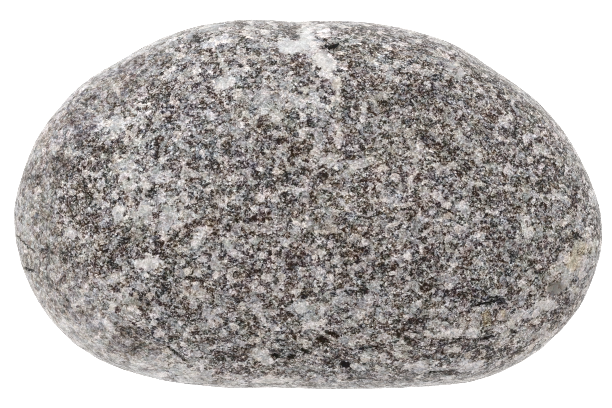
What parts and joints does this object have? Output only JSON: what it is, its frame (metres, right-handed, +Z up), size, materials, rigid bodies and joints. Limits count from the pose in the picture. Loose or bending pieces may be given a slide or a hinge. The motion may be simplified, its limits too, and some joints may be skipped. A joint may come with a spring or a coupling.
{
  "type": "pebble",
  "caption": "Rounded, slightly flattened oval stone worn smooth by water, resting on a small flat spot.",
  "frame": {"origin": "on the ground, under the middle of the stone's box, in the plane of the flat spot it rests on", "axes": "+X along the stone's length, +Y across it towards the edge with the small notch, +Z up through its thickness"},
  "size_m": [0.0724, 0.0454, 0.0309],
  "materials": {
    "stone": "matt, water-worn, fine salt-and-pepper grain of pale feldspar, grey quartz and dark mica"
  },
  "bodies": {
    "root": {"pebble": "stone"}
  },
  "joints": []
}
